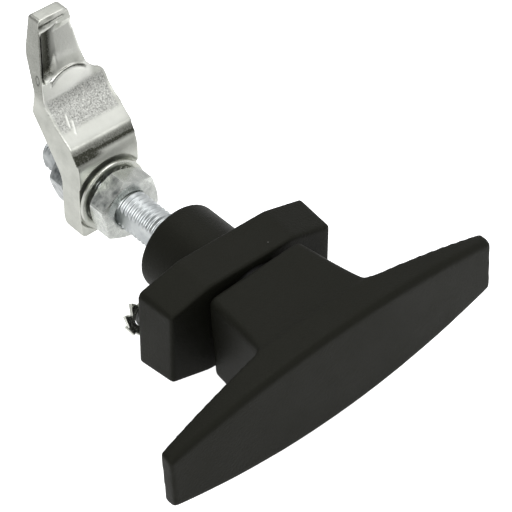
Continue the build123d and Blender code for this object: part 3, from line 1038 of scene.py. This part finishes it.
def dull_side_mask(x, y, z, facing):
    """Painted shade on the sides and the tip's top edge, and the hub a little darker towards the
    bend.
    """
    hub_darkening = 0.16 * between(z, 8.0, 10.0, 13.4, BEND_LINE) * fade(facing, 0.5, 0.8)
    hub_darkening = hub_darkening * fade(x, -4.0, 1.0)
    dish_side = fade(x, -4.0, -6.0) * fade(y, 54.02, 54.25)
    dish_side = dish_side * between(z, DISH_LOW, 32.6, 45.6, 46.6)
    side_top = hump(z - 45.0, 0.8) * fade(x, -3.6, -5.5) * fade(y, 54.1, 54.3) * (z < 45.6)
    dish_side = np.maximum(dish_side, side_top) * fade(facing, 0.0, 0.2)
    flank = (0.15 + 0.33 * fade(z, 22, 27)) * fade(facing, 0.4, 0.2) * (x < -8)
    pit = np.hypot((y - PIT_MIDDLE[0]) / 0.62, (z - PIT_MIDDLE[1]) / 1.3) - 1
    pit_rim = 0.9 * hump(pit, 0.42) * (x < -8.8) * fade(facing, 0.6, 0.3)
    tip_edge = fade(z, 47.5, 48.0) * fade(facing, 0.15, 0.35)
    tip_edge = tip_edge * (0.25 + 0.2 * fade(x, -8.0, -5.0))
    return np.maximum.reduce([hub_darkening, dish_side, flank, pit_rim, tip_edge])


def bright_mask(x, y, z, front):
    """Painted highlights on ridges and open faces."""
    crest = 0.3 * between(z, 16.0, 17.2, 18.2, 19.2)
    below_brow = between(z, 24.4, 25.4, 30.5, 31.5) * (y < NOSE_FACE + 0.4) * fade(x, 6.5, 4.5)
    left_edge = hump(np.hypot(x + 8.3, (z - 26.5) / 1.5), 2.0)
    dish_floor = 0.6 * fade(past_brow(x, z), 1.5, 4.0) * fade(x, -5.5, -3.5)
    dish_floor = dish_floor * fade(y, 54.02, 54.25)
    brow_lip = brow_line(x, z, BROW_LIP, 0.30) * fade(x, 2.5, 0.0)
    marks = [flow_marks(x, z), tip_lip(x, z)]
    return np.maximum.reduce([crest, below_brow, left_edge, dish_floor, brow_lip, *marks]) * front


points, facing = read_skin(cam)
x, y, z = points.T
front = fade(facing, 0.2, 0.45)
# painted shade on the front, which the plating reads
front_shade = dull_front_mask(x, y, z) * front
store_mask(cam, "sandy", sandy_mask(x, z, front))
store_mask(cam, "painted_shade", np.maximum(front_shade, dull_side_mask(x, y, z, facing)))
store_mask(cam, "painted_highlight", bright_mask(x, y, z, front))
stand_in(shade(cam, CAST_ZINC, smooth_below=60), "cam_body", "zinc_casting", "cam")

# %% [markdown]
# ## Geometry Nodes: threads, nuts and toothed washers
# A screw thread, a nut and a toothed washer each follow a rule, so each is a node tree with named
# sizes, and one tree serves every piece of its kind. The thread and the nut are one flat grid
# rolled round the Y axis: a row's radius and place come from a formula. Rolled up like this, the
# skin is closed and its faces are even.


# %% Tree helpers
def make_tree(name, sizes, whole):
    """A geometry tree whose inputs are sizes in metres, whole numbers and a material."""
    inputs = {label: (FLOAT, value) for label, value in sizes.items()}
    inputs.update({label: ("NodeSocketInt", value) for label, value in whole.items()})
    inputs["Material"] = ("NodeSocketMaterial", None)
    outputs = {"Geometry": ("NodeSocketGeometry", None)}
    return new_group(name, "GeometryNodeTree", inputs, outputs)


def finish_tree(mesh, material, result):
    """Ends a tree: doubles merged, instances real, material set."""
    doubles = {"Geometry": mesh, "Distance": 0.001 * MM}
    merged = wire(mesh.tree, "GeometryNodeMergeByDistance", doubles)
    real = wire(mesh.tree, "GeometryNodeRealizeInstances", {"Geometry": merged})
    dressed = {"Geometry": real, "Material": material}
    plug(wire(mesh.tree, "GeometryNodeSetMaterial", dressed), result["Geometry"])
    return mesh.tree


def grow(tree, name, values):
    """Runs a tree with its own values on a new object and keeps the mesh."""
    obj = bpy.data.objects.new(name, bpy.data.meshes.new(name))
    bpy.context.scene.collection.objects.link(obj)
    modifier = obj.modifiers.new(tree.name, "NODES")
    modifier.node_group = tree
    for socket in tree.interface.items_tree:
        if socket.in_out == "INPUT" and socket.name in values:
            modifier[socket.identifier] = values[socket.name]
    return apply_modifiers(obj)


def rolled_grid(tree, rows, around):
    """A unit grid with its row number (0 to rows - 1) and its share of a turn (0 to 1)."""
    sizes = {"Size X": 1.0, "Size Y": 1.0, "Vertices X": rows, "Vertices Y": around}
    grid = wire(tree, "GeometryNodeMeshGrid", sizes, "Mesh")
    across, along, _ = parts_of(wire(tree, "GeometryNodeInputPosition"))
    return grid, calc("ROUND", (across + 0.5) * (rows - 1.0)), along + 0.5


def roll_up(grid, radius, place, turn, half_width=None):
    """Sets each point at a radius and a place along Y; points past half_width are cut flat."""
    angle = turn * (2 * math.pi)
    across = radius * calc("COSINE", angle)
    upward = radius * calc("SINE", angle)
    if half_width is not None:
        across = calc("MINIMUM", across, half_width)
        across = calc("MAXIMUM", across, half_width * -1.0)
    spot = wire(grid.tree, "ShaderNodeCombineXYZ", {"X": across, "Y": place, "Z": upward})
    moved = {"Geometry": grid, "Position": spot}
    return wire(grid.tree, "GeometryNodeSetPosition", moved)


def choose_by_row(row, values):
    """The value listed for this row."""
    chooser = add_node(row.tree, "GeometryNodeIndexSwitch", data_type="FLOAT")
    while len(chooser.index_switch_items) < len(values):
        chooser.index_switch_items.new()
    plug(row, chooser.inputs["Index"])
    for number, value in enumerate(values):
        plug(value, chooser.inputs[str(number)])
    return Wire(chooser.outputs[0])


print("tree helpers ready")

# %% [markdown]
# ## Threaded rod
# A real thread is rolled: a die presses a helical groove and pushes the crest up. Here the
# radius follows a wave. Its phase is the place along Y, in pitches, plus the share of a turn, so
# the wave climbs one pitch a turn and the helix comes by itself. The thread is right-handed,
# M10 x 1.5 on the shaft and M6 x 1 on the studs. The shaft's two flats are a limit on X.

# %% Tree: threaded rod
ROOT_SHARE = 0.14
CREST_SHARE = 0.88


def thread_radius(place, turn, pitch, root, crest):
    """Radius of a right-handed thread at a place along Y and a share of a turn."""
    phase = calc("FRACT", place / pitch + turn)
    slope = calc("ABSOLUTE", calc("MULTIPLY_ADD", phase, 2.0, -1.0))
    return remap(slope, root, crest, ROOT_SHARE, CREST_SHARE)


def make_threaded_rod():
    """A closed rod with a rolled thread and a chamfered tip; its sides may be cut flat."""
    sizes = {"Radius": 5 * MM, "Thread Depth": 0.85 * MM, "Pitch": 1.5 * MM, "Start": 0.0}
    sizes.update({"End": 20 * MM, "Tip Chamfer": 0.9 * MM, "Flat Half Width": 4 * MM})
    tree, size, result = make_tree("threaded_rod", sizes, {"Rows": 200, "Around": 97})
    grid, row, turn = rolled_grid(tree, size["Rows"], size["Around"])
    place = remap(row, size["Start"], size["End"], 1.0, size["Rows"] - 2.0)
    crest = size["Radius"]
    thread = thread_radius(place, turn, size["Pitch"], crest - size["Thread Depth"], crest)
    tip = crest - size["Tip Chamfer"] + (size["End"] - place)
    # the first and the last row close the ends: their radius is zero
    between_ends = calc("GREATER_THAN", row, 0.5) * calc("LESS_THAN", row, size["Rows"] - 1.5)
    radius = calc("MINIMUM", thread, tip) * between_ends
    rod = roll_up(grid, radius, place, turn, size["Flat Half Width"])
    return finish_tree(rod, size["Material"], result)


THREADED_ROD = make_threaded_rod()
print("tree:", THREADED_ROD.name)

# %% [markdown]
# ## Shaft
# The shaft is turned smooth where it runs in the housing, and threaded from there to its end.
# The smooth part, with its groove and its flats for the handle, is a copy of the solid, cut off
# where the thread starts. The thread grows from the tree, and both meshes are joined. Near its
# end the plating is painted darker, as painted shade where it lies behind the cam.

# %% Shaft: turned journal and rolled thread
THREAD_START = 15.4 * MM
THREAD_OVERLAP = 0.2 * MM
SHAFT_END_SHADE = 0.5


def cut_after(obj, place):
    """Cuts away what lies past a place along Y, and closes the cut."""
    shape = bmesh.new()
    shape.from_mesh(obj.data)
    everything = shape.verts[:] + shape.edges[:] + shape.faces[:]
    cut = bmesh.ops.bisect_plane(
        shape, geom=everything, plane_co=(0, place, 0), plane_no=(0, 1, 0), clear_outer=True
    )
    rim = [item for item in cut["geom_cut"] if isinstance(item, bmesh.types.BMEdge)]
    bmesh.ops.contextual_create(shape, geom=rim)
    shape.to_mesh(obj.data)
    shape.free()
    return obj


def join(obj, *others):
    """Adds the other objects' meshes to the first and deletes them."""
    shape = bmesh.new()
    for part in (obj, *others):
        shape.from_mesh(part.data)
    shape.to_mesh(obj.data)
    shape.free()
    for part in others:
        bpy.data.objects.remove(part)
    return obj


journal = cut_after(solid_copy("shaft", "shaft_journal"), THREAD_START)
SCREW_SIZES = {
    "Start": THREAD_START - THREAD_OVERLAP,
    "End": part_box("shaft")[1][1],
    "Rows": 330,
    "Thread Depth": 0.66 * MM,
    "Material": SHAFT_ZINC,
}
spindle = join(grow(THREADED_ROD, "spindle", SCREW_SIZES), journal)
points, _ = read_skin(spindle)
# painted shade: the shaft's end behind the cam is painted darker
store_mask(spindle, "painted_dark", SHAFT_END_SHADE * fade(points[:, 1], 50.0, 52.5))
spindle = shade(spindle, SHAFT_ZINC, smooth_below=50)
stand_in(spindle, "handle_body", "zinc_shaft", "shaft")

# %% [markdown]
# ## Studs
# Two short studs stand on the flange's back and hold it to the door. They grow from the same
# tree as the shaft, with M6 sizes. They have no flats, so their limit on X is far outside them.

# %% Studs on the flange's back
STUD_SIZES = {
    "Radius": 3 * MM,
    "Thread Depth": 0.55 * MM,
    "Pitch": 1 * MM,
    "Tip Chamfer": 0.6 * MM,
    "Flat Half Width": 1.0,
    "Rows": 112,
    "Around": 49,
    "Material": SHADED_STUD_ZINC,
}


def centre_on(obj, node):
    """Moves a mesh along X to its solid's middle."""
    low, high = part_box(node)
    obj.data.transform(Matrix.Translation(((low[0] + high[0]) / 2, 0, 0)))


for side in ("left", "right"):
    node = f"mounting_stud_{side}"
    low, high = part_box(node)
    stud = grow(THREADED_ROD, f"stud_{side}", {**STUD_SIZES, "Start": low[1], "End": high[1]})
    centre_on(stud, node)
    stand_in(shade(stud, SHADED_STUD_ZINC, smooth_below=50), "housing_body", "zinc_nut", node)

# %% [markdown]
# ## Jam nuts
# A hexagon nut is turned from bar: a cone cuts its six corners, a smaller cone opens each mouth,
# and a tap cuts the bore. The tree rolls one grid through all of it. Its rows run out over the
# front face, along the flats with a chamfer at each end, in over the rear face, and back through
# the threaded bore. The cone's cut deepens with the distance from the axis, which draws the
# curved edges that every real nut has. One flat of each nut is painted dark and patchy, a painted
# dark reflection.


# %% Tree: jam nut
def make_jam_nut():
    """A thin hexagon nut: chamfered corners, chamfered mouths and a threaded bore."""
    sizes = {"Across Flats": 16 * MM, "Thickness": 6 * MM, "Front": 0.0, "Turn Share": 0.0}
    sizes.update({"Face Radius": 7.85 * MM, "Corner Radius": 9.1 * MM})
    sizes.update({"Mouth Chamfer": 0.55 * MM, "Bore Radius": 5.06 * MM})
    sizes.update({"Thread Depth": 0.8 * MM, "Pitch": 1.5 * MM})
    tree, size, result = make_tree("jam_nut", sizes, {"Bore Rows": 40, "Around": 97})
    grid, row, turn = rolled_grid(tree, size["Bore Rows"] + 7.0, size["Around"])
    # how far each flat's point stands from the axis, and how far the cone cuts it back
    sixth = calc("FRACT", (turn - size["Turn Share"]) * 6.0)
    lean = (sixth - 0.5) * (math.pi / 3)
    flat = size["Across Flats"] * 0.5 / calc("COSINE", lean)
    side = calc("MINIMUM", flat, size["Corner Radius"])
    face, thick = size["Face Radius"], size["Thickness"]
    drop = (side - face) * math.tan(math.pi / 6)
    # rows 0 to 5 go round the outside, all rows of the bore are step 6, and step 7 closes it
    last_bore_row = size["Bore Rows"] + 5.0
    after_bore = calc("GREATER_THAN", row, size["Bore Rows"] + 5.5)
    step = calc("MINIMUM", row, 6.0) + after_bore
    chamfer = size["Mouth Chamfer"]
    in_bore = remap(row, thick - chamfer, chamfer, 6.0, last_bore_row)
    along = choose_by_row(step, [0.0, 0.0, drop, thick - drop, thick, thick, in_bore, 0.0])
    place = along + size["Front"]
    bore = size["Bore Radius"]
    thread = thread_radius(place, turn, size["Pitch"], bore - size["Thread Depth"], bore)
    mouth = bore + chamfer
    radius = choose_by_row(step, [mouth, face, side, side, face, mouth, thread, mouth])
    return finish_tree(roll_up(grid, radius, place, turn), size["Material"], result)


JAM_NUT = make_jam_nut()
print("tree:", JAM_NUT.name)

# %% Two jam nuts
NUTS = {
    "front_jam_nut": (41.0, "front_nut_body", NUT_ZINC),
    "rear_jam_nut": (49.0, "rear_nut_body", SHADED_REAR_NUT_ZINC),
}
# painted reflection: one flat of each nut is painted dark, for the dark it would reflect
DARKENED_FLAT = 90.0
NUT_FLAT_DARK = 0.75


def tarnish_flat(nut, angle):
    """Paints the flat that faces this angle dark, counted from +X towards +Z: a painted reflection.
    """
    facing = [
        polygon.normal.x * math.cos(angle) + polygon.normal.z * math.sin(angle)
        for polygon in nut.data.polygons
    ]
    layer = nut.data.attributes.new("painted_dark", "FLOAT", "FACE")
    layer.data.foreach_set("value", NUT_FLAT_DARK * fade(np.array(facing), 0.97, 0.98))


for node, (turn, body, plating) in NUTS.items():
    low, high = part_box(node)
    values = {"Front": low[1], "Thickness": high[1] - low[1], "Turn Share": turn / 360}
    nut = grow(JAM_NUT, node.replace("jam_nut", "hex_nut"), {**values, "Material": plating})
    tarnish_flat(nut, math.radians(turn + DARKENED_FLAT))
    stand_in(shade(nut, plating, smooth_below=25), body, "zinc_nut", node)

# %% [markdown]
# ## Toothed washers
# A lock washer is stamped flat, and then each tooth is twisted so that its two corners bite. The
# tree builds a flat rim from a rolled grid, and one tooth as a bar of seven slices. Each slice
# turns a little more than the last. Instances set the teeth round the axis. Teeth that point in
# have a tip radius smaller than their root's, and teeth that point out a larger one, so one
# tree makes both kinds.


# %% Tree: toothed washer
def make_twisted_tooth(tree, size):
    """One tooth along X, from its root to its tip, that twists about X."""
    cube = {"Size": (1.0, 1.0, 1.0), "Vertices X": 7}
    slices = wire(tree, "GeometryNodeMeshCube", cube, "Mesh")
    x, y, z = parts_of(wire(tree, "GeometryNodeInputPosition"))
    share = x + 0.5
    angle = share * size["Twist"]
    cosine, sine = calc("COSINE", angle), calc("SINE", angle)
    deep, wide = y * size["Thickness"], z * size["Tooth Width"]
    spot = {
        "X": remap(share, size["Tooth Root"], size["Tooth Tip"]),
        "Y": deep * cosine - wide * sine,
        "Z": deep * sine + wide * cosine,
    }
    twisted = {"Geometry": slices, "Position": wire(tree, "ShaderNodeCombineXYZ", spot)}
    return wire(tree, "GeometryNodeSetPosition", twisted)


def make_toothed_washer():
    """A flat ring with teeth that twist from their root to their tip."""
    sizes = {"Rim Inner": 8 * MM, "Rim Outer": 9.6 * MM, "Thickness": 1 * MM, "Place": 0.0}
    sizes.update({"Tooth Root": 8 * MM, "Tooth Tip": 5.3 * MM, "Tooth Width": 2.1 * MM})
    sizes.update({"Twist": math.radians(38), "First Tooth": 0.0})
    tree, size, result = make_tree("toothed_washer", sizes, {"Teeth": 10, "Around": 97})
    grid, row, turn = rolled_grid(tree, 5, size["Around"])
    inner, outer = size["Rim Inner"], size["Rim Outer"]
    half = size["Thickness"] * 0.5
    low, high = size["Place"] - half, size["Place"] + half
    radius = choose_by_row(row, [inner, outer, outer, inner, inner])
    along = choose_by_row(row, [low, low, high, high, low])
    rim = roll_up(grid, radius, along, turn)
    tooth = make_twisted_tooth(tree, size)
    number = wire(tree, "GeometryNodeInputIndex")
    step = calc("DIVIDE", 2 * math.pi, size["Teeth"])
    swing = calc("MULTIPLY_ADD", number, step, size["First Tooth"]) * -1.0
    spots = {
        "Points": wire(tree, "GeometryNodeMeshLine", {"Count": size["Teeth"], "Offset": (0, 0, 0)}),
        "Instance": tooth,
        "Rotation": wire(tree, "ShaderNodeCombineXYZ", {"Y": swing}),
    }
    teeth = wire(tree, "GeometryNodeInstanceOnPoints", spots)
    moved = {
        "Geometry": wire(tree, "GeometryNodeRealizeInstances", {"Geometry": teeth}),
        "Translation": wire(tree, "ShaderNodeCombineXYZ", {"Y": size["Place"]}),
    }
    both = add_node(tree, "GeometryNodeJoinGeometry")
    plug(rim, both.inputs[0])
    plug(wire(tree, "GeometryNodeTransform", moved), both.inputs[0])
    return finish_tree(Wire(both.outputs[0]), size["Material"], result)


TOOTHED_WASHER = make_toothed_washer()
print("tree:", TOOTHED_WASHER.name)

# %% Lock washer and star washers
LOCK_SIZES = {
    "Rim Inner": 7.9 * MM,
    "Tooth Root": 8.2 * MM,
    "First Tooth": math.radians(3.5),
    "Twist": math.radians(32),
    "Material": PRESSED_ZINC,
}
STAR_SIZES = {
    "Rim Inner": 3.15 * MM,
    "Rim Outer": 4.4 * MM,
    "Thickness": 0.7 * MM,
    "Tooth Root": 4.2 * MM,
    "Tooth Tip": 5.68 * MM,
    "Tooth Width": 2.9 * MM,
    "First Tooth": math.radians(29),
    "Twist": math.radians(50),
    "Around": 65,
    "Material": PRESSED_ZINC,
}
LOCK_ROUND_MM = 0.12
STAR_ROUND_MM = 0.08


def grow_washer(name, node, sizes):
    """A toothed washer in the middle of its solid's thickness."""
    low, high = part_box(node)
    return grow(TOOTHED_WASHER, name, {**sizes, "Place": (low[1] + high[1]) / 2})


lock = grow_washer("toothed_lock_washer", "front_lock_washer", LOCK_SIZES)
lock = round_edges(lock, LOCK_ROUND_MM, segments=2, sharper_than=40)
lock = shade(lock, PRESSED_ZINC, smooth_below=35)
stand_in(lock, "cam_body", "zinc_pressing", "front_lock_washer")
for side in ("left", "right"):
    node = f"stud_washer_{side}"
    star = grow_washer(f"star_{side}", node, STAR_SIZES)
    centre_on(star, node)
    star = round_edges(star, STAR_ROUND_MM, segments=2, sharper_than=40)
    stand_in(shade(star, PRESSED_ZINC, smooth_below=35), "housing_body", "zinc_pressing", node)

# %% [markdown]
# ## Thrust washer
# A thin black disc keeps the handle's stem from scraping on the flange. It is turned from
# acetal, and its rim shows in the gap. A bevel on a copy of the solid is enough, because a
# rounded rim catches a thin line of light where a sharp one would stay black.

# %% Thrust washer with softened edges
THRUST_ROUND_MM = 0.22
thrust = solid_copy("thrust_washer", "thrust_ring")
thrust = round_edges(thrust, THRUST_ROUND_MM, segments=3, sharper_than=40)
thrust = shade(thrust, ACETAL, smooth_below=40)
stand_in(thrust, "handle_body", "black_acetal", "thrust_washer")

# %% [markdown]
# ## Pieces inside the housing
# The pin, the springs, the stop washer, the snap ring and the seal hide inside. Their solids are
# already as exact as they need to be, so they stay as they are and only take a finish.

# %% Kept solids and their finishes
KEPT = {
    "handle_pin": SPRING_STEEL,
    "disc_spring": SPRING_STEEL,
    "stop_washer": PRESSED_ZINC,
    "retaining_ring": SPRING_STEEL,
    "shaft_oring": RUBBER,
}
for node, material in KEPT.items():
    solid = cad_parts[node]
    solid.data.materials.clear()
    solid.data.materials.append(material)
print("kept solids:", len(KEPT))

# %% Sizes, and the end of the lesson
print("solid box:", solid_box)
